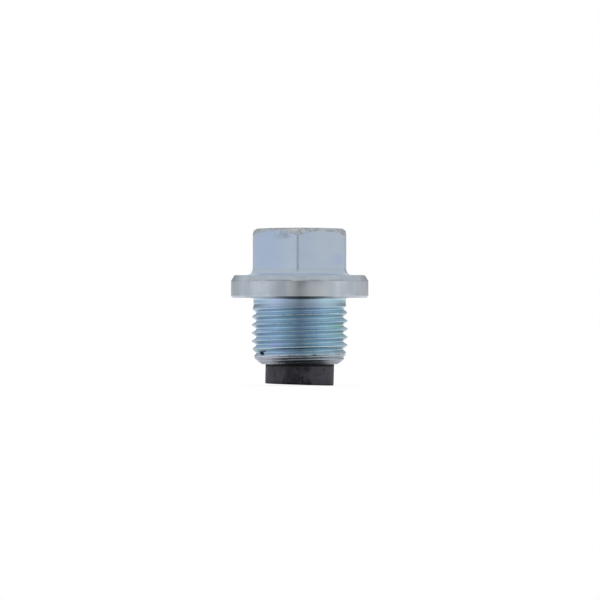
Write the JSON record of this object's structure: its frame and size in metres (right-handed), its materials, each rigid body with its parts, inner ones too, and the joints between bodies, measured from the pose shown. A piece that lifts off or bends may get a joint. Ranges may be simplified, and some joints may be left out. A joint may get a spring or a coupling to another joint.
{
  "type": "oil drain plug",
  "caption": "Flanged hexagon drain plug with a threaded shank and a magnet set in its end, to close an oil pan's drain hole and hold steel swarf.",
  "frame": {"origin": "on the thread's axis, in the sealing face under the collar", "axes": "+Z along the thread's axis towards the head, +X to the right in the picture, +Y away from the camera"},
  "size_m": [0.0254, 0.0254, 0.0294],
  "materials": {
    "zinc_plated_steel": "bright zinc plate with a bluish passivation, satin",
    "hard_ferrite": "matt sintered dark grey"
  },
  "bodies": {
    "root": {"plug_body": "zinc_plated_steel", "magnet": "hard_ferrite"}
  },
  "joints": []
}
